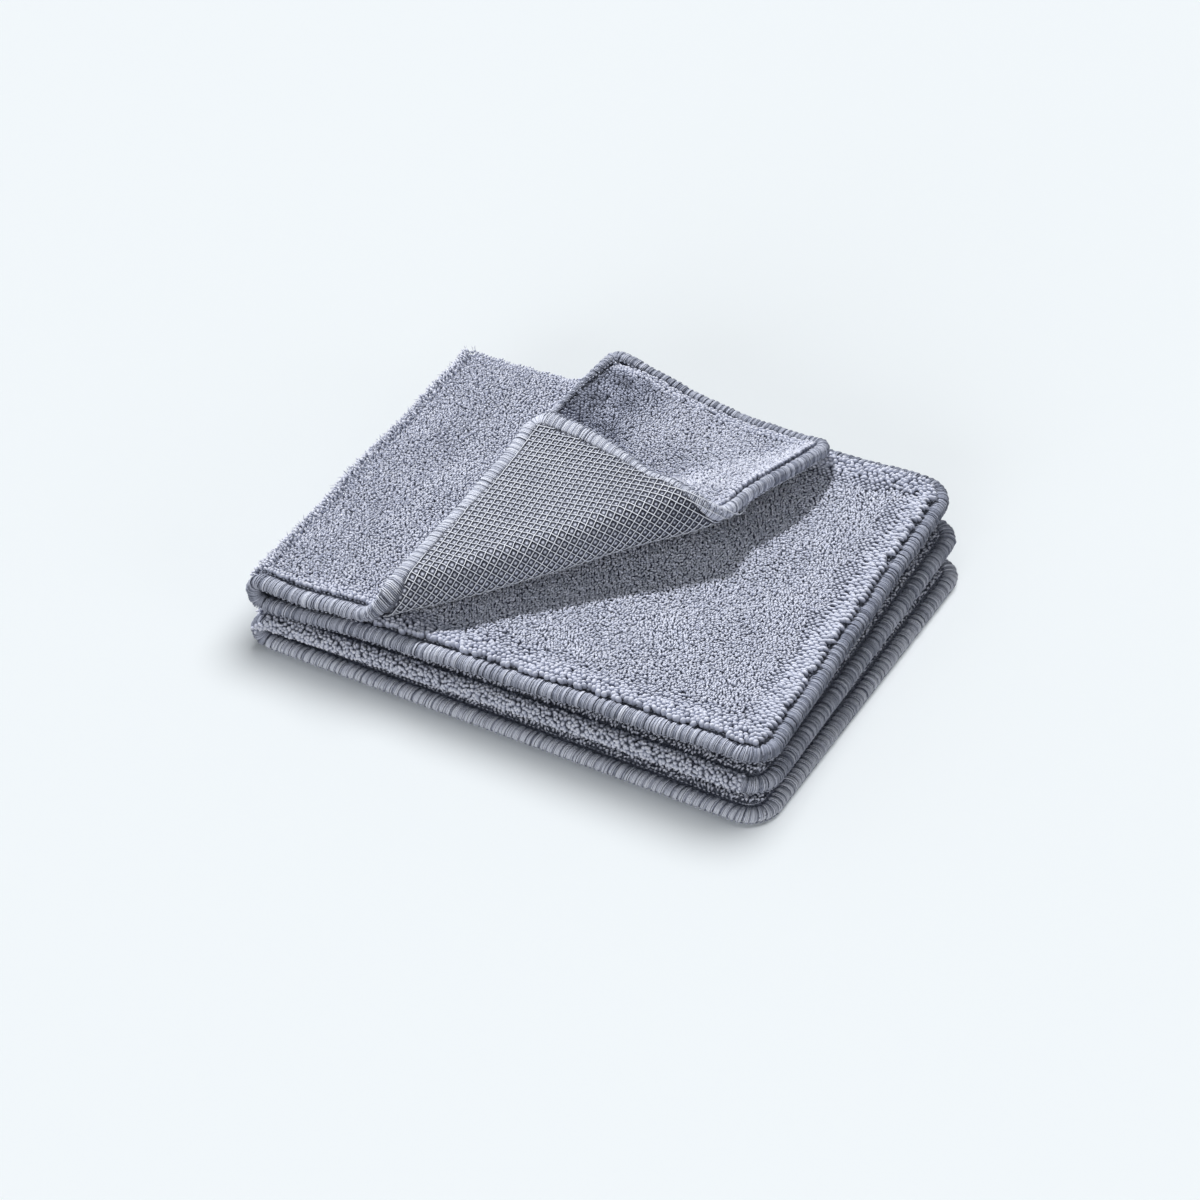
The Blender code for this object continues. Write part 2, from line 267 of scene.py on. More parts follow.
def point_normals(points, faces):
    """Unit sums of the faces' normals round each point."""
    a, b, c = (points[faces[:, k]] for k in range(3))
    area = np.cross(b - a, c - a)
    total = np.zeros_like(points)
    for k in range(3):
        np.add.at(total, faces[:, k], area)
    return unit(total)


def piece_of(name, points, faces, material, **values):
    """A smooth mesh object from arrays of points and triangles, none below the floor, with
    one attribute of its points for each named array of values."""
    points = np.column_stack([points[:, :2], np.maximum(points[:, 2], FLOOR_GAP)])
    mesh = bpy.data.meshes.new(name)
    mesh.vertices.add(len(points))
    mesh.vertices.foreach_set("co", points.astype(np.float32).ravel())
    mesh.loops.add(faces.size)
    mesh.loops.foreach_set("vertex_index", faces.astype(np.int32).ravel())
    mesh.polygons.add(len(faces))
    mesh.polygons.foreach_set("loop_start", np.arange(0, faces.size, 3, dtype=np.int32))
    for key, value in values.items():
        data = mesh.attributes.new(key, "FLOAT", "POINT").data
        data.foreach_set("value", value.astype(np.float32).ravel())
    mesh.update(calc_edges=True)
    mesh.shade_smooth()
    mesh.materials.append(material)
    return placed(name, mesh)


def thickened(points, faces, above, below):
    """A sheet given its thickness along its normals, with a wall round its open edges."""
    normals = point_normals(points, faces)
    count = len(points)
    skins = np.concatenate([points + normals * above, points - normals * below])
    edges = np.concatenate([faces[:, [0, 1]], faces[:, [1, 2]], faces[:, [2, 0]]])
    key = np.sort(edges, axis=1)
    _, first, uses = np.unique(key, axis=0, return_index=True, return_counts=True)
    start, end = edges[first[uses == 1]].T
    walls = [
        np.stack([end, start, start + count], -1),
        np.stack([end, start + count, end + count], -1),
    ]
    return skins, np.concatenate([faces, faces[:, ::-1] + count, *walls])


def nodes_of(name, roughness, sheen, gloss=0.25):
    """A new matt material with a sheen, and its node tree."""
    material = bpy.data.materials.new(name)
    material.use_nodes = True
    shader = material.node_tree.nodes["Principled BSDF"]
    for socket, value in (
        ("Roughness", roughness),
        ("Specular IOR Level", gloss),
        ("Sheen Weight", sheen),
        ("Sheen Roughness", 0.5),
        ("Sheen Tint", (0.85, 0.88, 1.0, 1.0)),
    ):
        shader.inputs[socket].default_value = value
    return material, material.node_tree


def noise(tree, scale, detail=2.0):
    """A noise of Object coordinates, scale per metre."""
    place = tree.nodes.new("ShaderNodeTexCoord")
    pattern = tree.nodes.new("ShaderNodeTexNoise")
    pattern.inputs["Scale"].default_value = scale
    pattern.inputs["Detail"].default_value = detail
    tree.links.new(place.outputs["Object"], pattern.inputs["Vector"])
    return pattern.outputs["Fac"]


def coloured(tree, value, *stops):
    """Gives the material its colours along a value: each stop is a place and a colour."""
    band = tree.nodes.new("ShaderNodeValToRGB")
    elements = band.color_ramp.elements
    while len(elements) < len(stops):
        elements.new(0.5)
    for element, (place, colour) in zip(elements, stops):
        element.position, element.color = place, (*colour, 1.0)
    tree.links.new(value, band.inputs["Fac"])
    tree.links.new(band.outputs["Color"], tree.nodes["Principled BSDF"].inputs["Base Color"])


def bump(tree, height, distance):
    """Raises the surface by height times distance, in metres, for shading only."""
    raised = tree.nodes.new("ShaderNodeBump")
    raised.inputs["Distance"].default_value = distance
    raised.inputs["Strength"].default_value = 1.0
    tree.links.new(height, raised.inputs["Height"])
    tree.links.new(raised.outputs["Normal"], tree.nodes["Principled BSDF"].inputs["Normal"])


inner, outer = ROUND_HEM, ROUND_HEM[::-1]
top_across = np.r_[np.arange(FOLD_IN, TOP_WIDTH - RIM, TOP_CELL), TOP_WIDTH - outer]
low_across = np.r_[np.arange(0.0, WIDTH - RIM, LOW_CELL), WIDTH - outer]
away = np.r_[inner, np.arange(inner[-1] + AWAY_CELL, DEPTH - RIM, AWAY_CELL), DEPTH - outer]
turns = np.arange(1, RINGS) / RINGS

top_grid, top_half = quarter_grid(top_quarter, top_across, away, TOP_WIDTH, TOP_CORNER)
(second_grid, low_half), (third_grid, _), (bottom_grid, _) = (
    quarter_grid(quarter, low_across, away, WIDTH, CORNER)
    for quarter in (second_quarter, third_quarter, bottom_quarter)
)
tuck = BACK_TUCK * (away / DEPTH) ** 2 * (low_across < FOLD_END)[:, None]
second_grid[..., 1] -= tuck
third_grid[..., 1] -= tuck
top_fold_grid = top_fold(turns[:, None], away[None, :])
low_fold_grid = low_fold(turns[:, None], away[None, :])
joined = np.flatnonzero((low_across > HEM) & (low_across < FOLD_END))
upper, lower = second_grid[None, joined, -1], third_grid[None, joined, -1]
back_turns = turns[:, None] + np.zeros(len(joined))
back_fold_grid = fold(upper, lower, BACKWARD, BACK_TURN, back_turns)
fold_half = np.tile(np.minimum(HALF_THICK[-1], top_half[0]), (len(turns), 1))
numbers, grids, halves, total = [], [], [], 0
for grid, half in (
    (top_grid, top_half),
    (top_fold_grid, fold_half),
    (second_grid, low_half),
    (back_fold_grid, np.full(back_fold_grid.shape[:2], HALF_THICK[-1])),
    (third_grid, low_half),
    (low_fold_grid, fold_half),
    (bottom_grid, low_half),
):
    numbers.append(total + np.arange(half.size).reshape(half.shape))
    total += half.size
    grids.append(grid.reshape(-1, 3))
    halves.append(half.ravel())
top, top_turn, second, back_turn, third, low_turn, bottom = numbers
ground_faces = np.concatenate(
    [
        triangles(top),
        triangles(top[:1], top_turn, second[:1], flipped=True),
        triangles(second, flipped=True),
        triangles(second[joined, -1], back_turn, third[joined, -1]),
        triangles(third),
        triangles(third[:1], low_turn, bottom[:1], flipped=True),
        triangles(bottom, flipped=True),
    ]
)
half = np.concatenate(halves)[:, None]
outside = half.copy()
outside[bottom[0, 0] :] = np.maximum(half[bottom[0, 0] :], FLOOR_SKIN)

ground_fabric, tree = nodes_of("knitted ground", 0.95, 0.15)
fine = noise(tree, 1300.0)
coloured(tree, fine, (0.35, (0.110, 0.120, 0.160)), (0.65, (0.280, 0.302, 0.375)))
bump(tree, fine, 0.0006)
skins, skin_faces = thickened(np.concatenate(grids), ground_faces, outside, half)
ground = piece_of("cloth_ground", skins, skin_faces, ground_fabric)
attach(ground, "root")
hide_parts("cloth")


# The pile. Short loops of split microfibre stand close together on the ground: fine and
# matt in the middle of a quarter, and fat where the foot of the sewing machine has pushed
# them up beside the hems. Each is one small grain with a rounded top.
PILE_FOOT, WISP_FOOT, STEP = 0.0016, 0.0022, 0.0003
FINE_PITCH, WISP_PITCH = 0.00102, 0.0022
FINE_LONG, FINE_WIDE, FINE_TALL = 0.00132, 0.00092, 0.00160
CLUMP, TUFT, FLOW_OVER = 0.007, 0.0032, 0.03
ROW_WIDE, ROW_TALL, FAT_WIDER, FAT_TALLER = 0.00125, 0.0017, 0.0003, 0.0010
FAT_TO, FAT_EASE = 0.0070, 0.0110
GRAIN_BANDS = [0.0, 66.0, 180.0]
LOOP_BANDS = [0.0, 40.0, 80.0, 120.0, 180.0]
# Powers of the grains' painted tip shade: the higher, the darker their sides are painted.
FINE_TIP_SHADE, LOOP_TIP_SHADE = 1.5, 2.8

pile_fabric, tree = nodes_of("microfibre pile", 0.9, 0.35)


def attribute(tree, name):
    """A float attribute of the piece's points."""
    reader = tree.nodes.new("ShaderNodeAttribute")
    reader.attribute_name = name
    return reader.outputs["Fac"]


def sum_of(tree, *terms):
    """The sum of each value times its share."""
    total = None
    for value, share in terms:
        part = tree.nodes.new("ShaderNodeMath")
        part.operation = "MULTIPLY_ADD"
        tree.links.new(value, part.inputs[0])
        part.inputs[1].default_value = share
        part.inputs[2].default_value = 0.0
        if total is not None:
            tree.links.new(total, part.inputs[2])
        total = part.outputs[0]
    return total


# The pile's colours follow its painted tip shade, darker towards each grain's foot as painted
# shade between the grains, plus a random tone and a cloudy noise.
tip, tone, cloudy = attribute(tree, "tip"), attribute(tree, "tone"), noise(tree, 90.0)
coloured(
    tree,
    sum_of(tree, (tip, 0.66), (tone, 0.17), (cloudy, 0.25)),
    (0.15, (0.135, 0.147, 0.195)),
    (0.42, (0.445, 0.476, 0.590)),
    (0.72, (0.730, 0.758, 0.870)),
    (1.00, (0.850, 0.868, 0.945)),
)
bump(tree, noise(tree, 5200.0, 1.0), 0.00012)

chance = np.random.default_rng(7)


def varied(size, share, count):
    """A size for each of count grains: each differs by up to the share."""
    return size * (1 + share * chance.uniform(-1, 1, count))


def frame_on(place, x, y, side=1.0):
    """Point, unit directions along x and y and the normal on its side of a surface, from
    its differences over a step."""
    along = place(x + STEP, y) - place(x - STEP, y)
    beside = place(x, y + STEP) - place(x, y - STEP)
    along = unit(along)
    normal = unit(np.cross(along, beside) * side)
    return place(x, y), along, np.cross(normal, along), normal


def scattered(low, high, pitch, uneven=0.34):
    """Flat places in a box: a grid with every second row shifted, each place moved by up
    to a share of the pitch."""
    rows = np.arange(low[1], high[1], pitch * 0.866)
    columns = np.arange(low[0], high[0], pitch)
    x, y = np.meshgrid(columns, rows)
    x = x + (np.arange(len(rows)) % 2)[:, None] * pitch / 2
    x = x.ravel() + chance.uniform(-1, 1, x.size) * pitch * uneven
    return x, y.ravel() + chance.uniform(-1, 1, y.size) * pitch * uneven


def grains(frames, length, width, height, turn, lean, bands, sides):
    """Rounded grains: rings of an ellipsoid between two poles at the angles of bands. Each
    is turned about its normal, leans over by lean times its height, and is given as one
    array of points, its triangles, a painted tip shade of its points (their height, 0 to
    1, to a power: painted shade, darker towards the foot) and their tones."""
    point, along, beside, normal = frames
    count = len(point)
    polar = np.radians(bands[1:-1])[:, None]
    around = 2 * np.pi * (np.arange(sides) + 0.5 * np.arange(len(polar))[:, None]) / sides
    out, up = np.sin(polar), np.cos(polar) + 0 * around
    ring = np.stack([np.cos(around) * out, np.sin(around) * out, up], -1).reshape(-1, 3)
    ball = np.concatenate([[[0.0, 0.0, 1.0]], ring, [[0.0, 0.0, -1.0]]])
    local = ball[None] * np.stack([length, width, height], -1)[:, None] / 2
    for axis in (0, 1):
        local[..., axis] += ball[None, :, 2] * (lean[axis] * height)[:, None] / 2
    cos, sin = np.cos(turn)[:, None], np.sin(turn)[:, None]
    x = (local[..., 0] * cos - local[..., 1] * sin)[..., None]
    y = (local[..., 0] * sin + local[..., 1] * cos)[..., None]
    points = point[:, None] + x * along[:, None] + y * beside[:, None]
    points = points + local[..., 2:] * normal[:, None]

    size, k = len(ball), np.arange(sides)
    following = (k + 1) % sides
    faces = [np.stack([0 * k, 1 + k, 1 + following], -1)]
    for here in 1 + sides * np.arange(len(polar) - 1):
        there = here + sides
        faces.append(np.stack([here + k, there + k, here + following], -1))
        faces.append(np.stack([here + following, there + k, there + following], -1))
    last = 1 + (len(polar) - 1) * sides
    faces.append(np.stack([last + following, last + k, np.full(sides, size - 1)], -1))
    faces = np.concatenate(faces)[None] + (np.arange(count) * size)[:, None, None]
    shade_power = FINE_TIP_SHADE if bands is GRAIN_BANDS else LOOP_TIP_SHADE
    tip = np.tile((ball[:, 2] * 0.5 + 0.5) ** shade_power, count)
    tone = np.repeat(chance.uniform(0, 1, count), size)
    return points.reshape(-1, 3), faces.reshape(-1, 3), tip, tone


def with_darker_tips(group, darkening):
    """The same grains, their tip shade times a factor that darkens them below 1: a plain
    darker tone on the second quarter, and painted shade right of the raised edge.
    """
    points, faces, tip, tone = group
    return points, faces, tip * np.repeat(darkening, len(tip) // np.size(darkening)), tone


def piece_from(name, material, *groups, slot="pile_fabric"):
    """One piece from several groups of grains or of yarn, which are joined end to end."""
    start, faces = 0, []
    for points, group_faces, _, _ in groups:
        faces.append(group_faces + start)
        start += len(points)
    points, tip, tone = (np.concatenate([group[k] for group in groups]) for k in (0, 2, 3))
    piece = piece_of(name, points, np.concatenate(faces), material, tip=tip, tone=tone)
    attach(piece, "root")
    return piece


def stand(place, x, y, height, side=1.0, foot=PILE_FOOT):
    """Frames of grains of a given height whose feet are a little over the middle surface."""
    point, along, beside, normal = frame_on(place, x, y, side)
    return point + normal * (foot + height / 2)[:, None], along, beside, normal


def fine_pile(place, x, y, seed, side=1.0, tall=1.0, flow=0.6):
    """Short fine loops: they lie along a slowly turning direction, in clumps."""
    count = len(x)
    clump = waves(x, y, CLUMP, seed) * 0.5 + waves(x, y, TUFT, seed + 1) * 0.5
    height = FINE_TALL * tall * (1 + 0.20 * clump + 0.18 * chance.uniform(-1, 1, count))
    length, width = varied(FINE_LONG, 0.2, count), varied(FINE_WIDE, 0.15, count)
    turn = flow + 0.9 * waves(x, y, FLOW_OVER, seed + 2) + 0.5 * chance.normal(size=count)
    lean = 0.25 * chance.normal(size=(2, count)) + np.array([[0.35], [0.0]])
    frames = stand(place, x, y, height, side)
    return grains(frames, length, width, height, turn, lean, GRAIN_BANDS, 5)


def wisps(place, x, y, side=1.0):
    """Loose fibre ends: thin, tall and leaning every way."""
    count = len(x)
    height, width = varied(0.0024, 0.35, count), varied(0.00040, 0.3, count)
    frames = stand(place, x, y, height, side, WISP_FOOT)
    lean = 0.55 * chance.normal(size=(2, count))
    return grains(frames, width, width, height, 0 * x, lean, GRAIN_BANDS, 4)


def row_loops(place, x, y, inside, right, size, along, across):
    """Fat loops beside the hems: their length lies along the front hem, and across the right
    one. They shrink with the distance from the hem."""
    count = len(x)
    fat = 1.0 - smooth((inside - FAT_TO) / FAT_EASE)
    height = varied((ROW_TALL + FAT_TALLER * fat) * size, 0.12, count)
    by_right = smooth(((y - (right - x)) / 0.004 + 1.0) / 2.0) * (y < DEPTH - (right - x))
    length = varied((along + (across - along) * by_right) * (0.78 + 0.30 * fat), 0.15, count)
    width = varied((ROW_WIDE + FAT_WIDER * fat) * size, 0.12, count)
    turn = (0.35 - 0.2 * by_right) * chance.normal(size=count) + 0.35 * (1 - by_right)
    lean = 0.15 * chance.normal(size=(2, count))
    return grains(stand(place, x, y, height), length, width, height, turn, lean, LOOP_BANDS, 7)


# Pile of the top quarter, left and right of its raised edge. It is fine, with rows of
# larger loops beside the hems, and right of the raised edge a strip of rough ones. Right of
# the raised edge the tips are painted darker: painted shade of the raised edge.
EDGE_FRONT, EDGE_BACK = np.array([0.0462, 0.0900]), np.array([0.0558, DEPTH])
EDGE_FROM, EDGE_HEM, FRONT_ROWS = 0.094, 0.0060, 0.020
COVERED_IN, CORNER_ROOM, CORNER_SIDE = 0.006, 0.010, 0.030
ROLLED, ROLLED_AT_HEM = 2.2, 3.1
EDGE_PITCH, ROW_PITCH = 0.00138, 0.00125


def under_turned_corner(x, y):
    """True where the turned back corner covers the top quarter, a little in from its hems:
    the place is mirrored in the roll and then lies on the cut corner. True too on the roll
    and on the corner itself, whose pile faces down."""
    t, s, radius, start = by_roll(*drawn_in(x, y))
    x_far, y_far = from_roll(t, 2 * start + np.pi * radius - s)
    at_hem = TOP_WIDTH - x < CORNER_SIDE
    edge = TOP_WIDTH - CORNER_ROOM - COVERED_IN - CORNER_ROOM * at_hem
    on_corner = (x_far < edge) & (y_far > COVERED_IN) & (t > 0)
    return on_corner | (s > start + np.where(at_hem, ROLLED_AT_HEM, ROLLED) * radius)


def from_raised_edge(x, y):
    """How far right of the raised edge's outer line a place on the top quarter is."""
    run = (y - EDGE_FRONT[1]) / (EDGE_BACK[1] - EDGE_FRONT[1])
    return x - EDGE_FRONT[0] - run * (EDGE_BACK[0] - EDGE_FRONT[0])


def top_rows(x, y):
    """How far in from the hems of the top quarter the rows of larger loops reach."""
    return 0.0095 + 0.0012 * waves(x, y, 0.010, 19)


def rough_strip(x, y):
    """How far right of the raised edge the rough loops reach: less towards its front."""
    return 0.0165 + 0.0040 * waves(x, y, 0.014, 27) - 0.30 * np.maximum(0.118 - y, 0.0)


def painted_edge_shade(x, y):
    """Painted shade right of the raised edge: the tips are painted darker within about 50
    mm of it, in patches.
    """
    beside = smooth((y - 0.075) / 0.03) * (1.0 - smooth((from_raised_edge(x, y) - 0.014) / 0.034))
    return np.maximum(1.0 - beside * (0.74 + 0.24 * waves(x, y, 0.012, 26)), 0.05)


x, y = scattered((FOLD_IN, 0.0), (TOP_WIDTH, DEPTH), FINE_PITCH)
inside, off_edge = from_hem(x, y, TOP_WIDTH, TOP_CORNER), from_raised_edge(x, y)
shown = (inside > top_rows(x, y)) | (off_edge < 0.0) & (y > FRONT_ROWS)
shown &= (off_edge < -STEP) | (off_edge > rough_strip(x, y)) | (y < EDGE_FROM)
shown &= ~under_turned_corner(x, y)
left, right = shown & (off_edge < 0.0), shown & (off_edge >= 0.0)
loose = scattered((FOLD_IN, 0.010), (0.030, DEPTH - 0.003), WISP_PITCH, 0.45)
pile_left = piece_from(
    "pile_top_left",
    pile_fabric,
    fine_pile(top_quarter, x[left], y[left], 11, tall=0.95),
    wisps(top_quarter, *loose),
)
x, y = x[right], y[right]
# Painted shade: the tips right of the raised edge are darkened where the raised edge shades them.
fine_right = with_darker_tips(fine_pile(top_quarter, x, y, 15), painted_edge_shade(x, y))

x, y = scattered((0.040, 0.070), (0.085, DEPTH - 0.0056), EDGE_PITCH, 0.30)
off_edge = from_raised_edge(x, y)
shown = (off_edge > EDGE_HEM) & (off_edge < rough_strip(x, y)) & ~under_turned_corner(x, y)
x, y = x[shown], y[shown]
rough_right = row_loops(top_quarter, x, y, 0.0110 + 0 * x, TOP_WIDTH, 0.80, 0.0014, 0.0014)
rough_right = with_darker_tips(rough_right, painted_edge_shade(x, y))

x, y = scattered((FOLD_IN, 0.0), (TOP_WIDTH, DEPTH), ROW_PITCH, 0.30)
inside = from_hem(x, y, TOP_WIDTH, TOP_CORNER)
shown = (inside > 0.0058) & (inside < top_rows(x, y)) & ~under_turned_corner(x, y)
shown &= (from_raised_edge(x, y) > EDGE_HEM) | (y < FRONT_ROWS)
x, y, inside = x[shown], y[shown], inside[shown]
pile_right = piece_from(
    "pile_top_right",
    pile_fabric,
    fine_right,
    rough_right,
    row_loops(top_quarter, x, y, inside, TOP_WIDTH, 0.74, 0.0015, 0.0016),
)

# Pile of the second quarter, which shows right of the roll: fine in its middle, and
# growing to fat round loops along the front hem and long ones across the right hem.
COVER, LOOP_NAP, LOOP_LONG = 0.010, 0.88, 0.0021


def under_top(x, y):
    """True where the top quarter covers the second one, a little in from its edge."""
    _, s, _, start = by_roll(x, y)
    edge, _ = drawn_in(TOP_WIDTH + 0 * y, y)
    return (s < start - COVER) & (x < edge - COVER)


def second_rows(x, y):
    """How far in from the hems of the second quarter the rows of larger loops reach."""
    return 0.0172 + 0.0030 * waves(x, y, 0.014, 21)


x, y = scattered((0.0, 0.0), (WIDTH, DEPTH), FINE_PITCH)
shown = (from_hem(x, y, WIDTH, CORNER) > second_rows(x, y)) & ~under_top(x, y)
x, y = x[shown], y[shown]
groups = [with_darker_tips(fine_pile(second_quarter, x, y, 23, flow=0.9), 0.95)]
for pitch, stretch, size, near, far in (
    # along the front hem, then across the right one: the outer rows, then the inner ones
    (0.00178, 1.0, 1.04, 0.0047, 0.0112),
    (0.00148, 1.0, 0.84, 0.0112, None),
    (0.00138, 1.9, 0.90, 0.0058, 0.0128),
    (0.00140, 1.4, 0.80, 0.0128, None),
):
    across_hem = stretch > 1.0
    x, y = scattered((0.0, 0.0), (WIDTH / stretch, DEPTH), pitch, 0.13 if across_hem else 0.22)
    x = x * stretch
    inside = from_hem(x, y, WIDTH, CORNER)
    border = 0.0012 * waves(x, y, 0.012, 22)
    if far:
        shown = (inside > near) & (inside < far + border)
    else:
        shown = (inside > near + border) & (inside < second_rows(x, y))
    by_right = (WIDTH - x < y) & (y < DEPTH - CORNER)
    shown &= (by_right == across_hem) & ~under_top(x, y)
    x, y, inside = x[shown], y[shown], inside[shown]
    across = 0.00165 * stretch if across_hem else LOOP_LONG
    loops = row_loops(second_quarter, x, y, inside, WIDTH, size, LOOP_LONG, across)
    groups.append(with_darker_tips(loops, LOOP_NAP))
pile_second = piece_from("pile_second", pile_fabric, *groups)

# Pile in the gaps of the stack, on the two lowest quarters, only as far in as it is seen.
GAP_PITCH, GAP_IN = 0.00135, 0.0200

groups = []
for place, seed in ((third_quarter, 51), (bottom_quarter, 57)):
    x, y = scattered((0.0, 0.0), (WIDTH, DEPTH), GAP_PITCH)
    inside = from_hem(x, y, WIDTH, CORNER)
    shown = (inside > HEM) & (inside < GAP_IN) & ((y < GAP_IN + 0.0005) | (x > FOLD_END))
    groups.append(fine_pile(place, x[shown], y[shown], seed, tall=1.05))
pile_low = piece_from("pile_low", pile_fabric, *groups)

# Pile round the outside of the folds, at the left and at the back.
TOP_ARC, LOW_ARC, BACK_ARC = 0.0135, 0.0129, 0.0165


def laid(place, arc):
    """A left fold as a surface: its x is the flat length round it, up to arc."""
    return lambda x, y: place(np.clip(x / arc, 0.0, 1.0), y)


def back_fold(x, y):
    """The back fold, between the second and the third quarter: x along it, y round it."""
    upper = second_quarter(x, DEPTH + 0 * x) - BACKWARD * BACK_TUCK
    lower = third_quarter(x, DEPTH + 0 * x) - BACKWARD * BACK_TUCK
    return fold(upper, lower, BACKWARD, BACK_TURN, np.clip(y / BACK_ARC, 0.0, 1.0))


groups = []
for place, arc, seed in ((top_fold, TOP_ARC, 31), (low_fold, LOW_ARC, 37)):
    x, y = scattered((0.0, 0.0), (arc, DEPTH), FINE_PITCH * 1.1)
    shown = (y > 0.0064) & (x > 0.0) & (x < arc)
    groups.append(fine_pile(laid(place, arc), x[shown], y[shown], seed, side=-1.0, tall=1.5))
    x, y = scattered((0.0, 0.0), (arc * 0.6, DEPTH), 0.0016, 0.45)
    shown = (y > 0.0074) & (x > 0.0)
    groups.append(wisps(laid(place, arc), x[shown], y[shown], side=-1.0))
x, y = scattered((0.0, 0.0), (FOLD_END, BACK_ARC), FINE_PITCH * 1.2)
shown = (y > 0.0) & (y < BACK_ARC) & (x > 0.0) & (x < FOLD_END)
groups.append(fine_pile(back_fold, x[shown], y[shown], 43, tall=1.2))
pile_folds = piece_from("pile_folds", pile_fabric, *groups)


# The overlocked edges. A three-thread machine wraps every cut edge in yarn: close turns
# run from the seam on one face round the edge to the seam on the other, in bunches, and
# swell over the folded-in cloth like a cord.
TURN_PITCH, TURN_SLANT, TURN_UNEVEN = 0.00055, 0.0010, 0.00007
# Shares of painted shade: in the slits between bunches, and more of it on their lower side.
BUNCH, BUNCH_DEEP, BETWEEN_DEEP, PAINTED_SLIT_SHADE, PAINTED_LOW_SLIT_SHADE = 0.0027, 0.00013, 0.00014, 0.50, 0.40
SWELL_ACROSS, SWELL_UP, STITCH = 0.0028, 0.0022, 0.0017
# The flat part of the top hem is painted lighter by a share.
FLAT_WIDER, FLAT_EASE, FLAT_PAINTED_LIGHT = 0.0009, 0.02, 0.34
YARN_WIDE, YARN_THICK = 0.00058, 0.00066
CHAIN_SLANT, CHAIN_SIZE, CHAIN_OUT = 0.6, (0.0017, 0.0007, 0.0007), 0.00030
SEAM_IN, SEAM_HIGH, SEAM_SIZE = 0.0060, 0.0016, (0.0013, 0.00055, 0.0009)

yarn_fabric, tree = nodes_of("overlock yarn", 0.75, 0.30)
# The yarn's colours follow its painted tip shade: darker on each turn's inner side, in the slits
# and on the lower face, plus its tone and a noise.
tip, tone, cloudy = attribute(tree, "tip"), attribute(tree, "tone"), noise(tree, 900.0, 1.0)
coloured(
    tree,
    sum_of(tree, (tip, 0.62), (tone, 0.36), (cloudy, 0.22)),
    (0.18, (0.022, 0.026, 0.042)),
    (0.52, (0.240, 0.264, 0.345)),
    (0.95, (0.610, 0.640, 0.745)),
    (1.00, (0.720, 0.750, 0.840)),
)
bump(tree, noise(tree, 3800.0, 1.0), 0.0001)


def rounded_path(corners, radii, step=0.0004):
    """A flat path through corners, each rounded by an arc: its dense points and, at each,
    the direction to its left. Corner k's arc starts radius·tan(half its turn) before it."""
    corners = np.array(corners, float)
    points = [corners[:1]]
    for before, corner, after, radius in zip(corners, corners[1:], corners[2:], radii):
        into, out = unit(corner - before), unit(after - corner)
        turn = math.atan2(into[0] * out[1] - into[1] * out[0], into @ out)
        trim = radius * math.tan(abs(turn) / 2)
        left = np.array([-into[1], into[0]]) * np.sign(turn)
        bend = np.linspace(0.0, turn, 12)[:, None]
        centre = corner - into * trim + left * radius
        points.append(centre + radius * (np.cos(bend) * -left + np.abs(np.sin(bend)) * into))
    points.append(corners[-1:])
    points = np.concatenate(points)
    length = np.r_[0.0, np.cumsum(np.linalg.norm(np.diff(points, axis=0), axis=1))]
    dense = np.arange(0.0, length[-1], step)
    line = np.stack([np.interp(dense, length, points[:, k]) for k in (0, 1)], -1)
    ahead = unit(np.gradient(line, axis=0))
    return dense, line, np.stack([-ahead[:, 1], ahead[:, 0]], -1)


def on_path(path, run):
    """Points and left directions of a flat path at the given lengths along it."""
    dense, line, left = path
    both = np.concatenate([line, left], axis=1)
    found = np.stack([np.interp(run, dense, both[:, k]) for k in range(4)], -1)
    return found[..., :2], found[..., 2:]


def core_of(place, path, run):
    """The middle of the swollen edge at the given lengths along it."""
    point, left = on_path(path, run)
    core = point + left * SWELL_ACROSS
    return place(core[..., 0], core[..., 1])


def round_edge(place, path, run, angle, across=SWELL_ACROSS, up=SWELL_UP, swell=0.0):
    """Places round an edge. The angle is 0 at the outermost line, 90° over the upper face
    and -90° under the lower one: across(1 - cos) in from the edge, and up·sin off the
    middle surface, both grown by swell."""
    point, left = on_path(path, run)
    inward = across * (1 - np.cos(angle)) - swell * np.cos(angle)
    flat = point + left * inward[..., None]
    on, _, _, normal = frame_on(place, flat[..., 0], flat[..., 1])
    return on + normal * ((up + swell) * np.sin(angle))[..., None]


def cords(paths, outward, wide, thick, shade=1.0, sides=4):
    """Tubes along many paths of equal length: an ellipse, wide across and thick outwards,
    carried along each, and closed at both ends. Points carry a painted tip shade, 1 on the
    outermost side and darker towards the inner one, times the painted shade given there,
    and the tone of their tube."""
    count, steps = paths.shape[:2]
    ahead = unit(np.gradient(paths, axis=1))
    beside = unit(np.cross(ahead, outward))
    away_from = np.cross(beside, ahead)
    angle = 2 * np.pi * (np.arange(sides) + 0.5) / sides
    ends = np.ones(steps)
    ends[[0, -1]] = 0.35
    ring = paths[:, :, None] + ends[None, :, None, None] * (
        np.cos(angle)[:, None] * wide / 2 * beside[:, :, None]
        + np.sin(angle)[:, None] * thick / 2 * away_from[:, :, None]
    )
    numbers = np.arange(count * steps * sides).reshape(count, steps, sides)
    here, there = numbers[:, :-1], numbers[:, 1:]
    next_here, next_there = np.roll(here, -1, axis=2), np.roll(there, -1, axis=2)
    halves = (here, there, next_here), (next_here, there, next_there)
    faces = [np.stack(half, -1).reshape(-1, 3) for half in halves]
    for k in range(1, sides - 1):
        faces.append(numbers[:, 0][:, [0, k, k + 1]])
        faces.append(numbers[:, -1][:, [0, k + 1, k]])
    shade = np.broadcast_to(shade, (count, steps))
    tip = (shade[:, :, None] * (np.sin(angle) * 0.5 + 0.5)).ravel()
    tone = np.repeat(chance.uniform(0, 1, count), steps * sides)
    return ring.reshape(-1, 3), np.concatenate(faces), tip, tone


